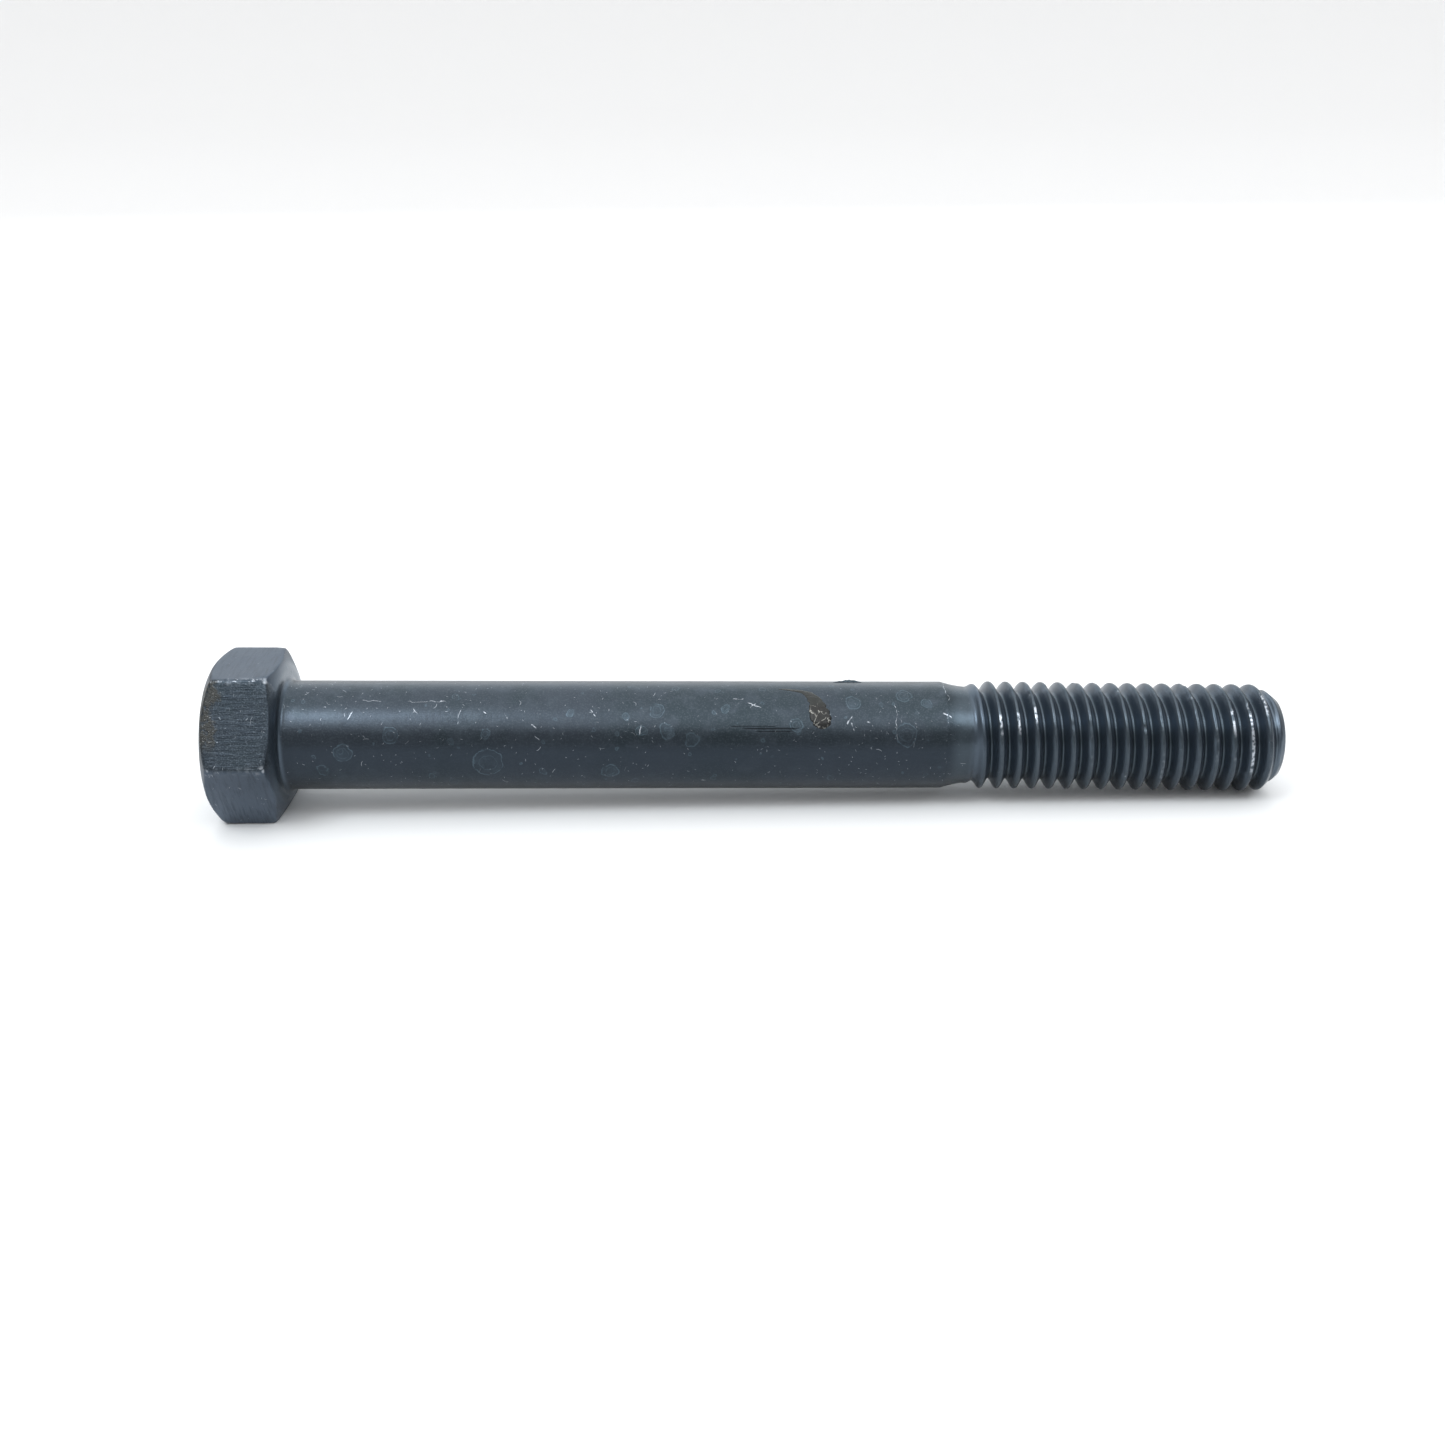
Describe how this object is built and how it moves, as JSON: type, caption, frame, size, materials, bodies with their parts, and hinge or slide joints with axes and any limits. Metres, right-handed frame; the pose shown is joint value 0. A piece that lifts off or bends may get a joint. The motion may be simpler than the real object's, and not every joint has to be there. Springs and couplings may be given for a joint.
{
  "type": "hex bolt",
  "caption": "Long hex bolt with a chamfered hexagon head and washer face, plain body, necked shoulder, rolled right-hand thread and coned point, in dark heat-blackened steel.",
  "frame": {"origin": "centre of the bearing (washer) face under the head, on the bolt's axis", "axes": "+X along the bolt's axis from the head to the threaded point, the head lies on the -X side; +Z is the outward normal of one flat of the hexagon; +Y points to a corner of the hexagon"},
  "size_m": [0.1084, 0.018, 0.0158],
  "materials": {
    "blackened_steel": "satin"
  },
  "bodies": {
    "root": {"hex_bolt": "blackened_steel"}
  },
  "joints": []
}
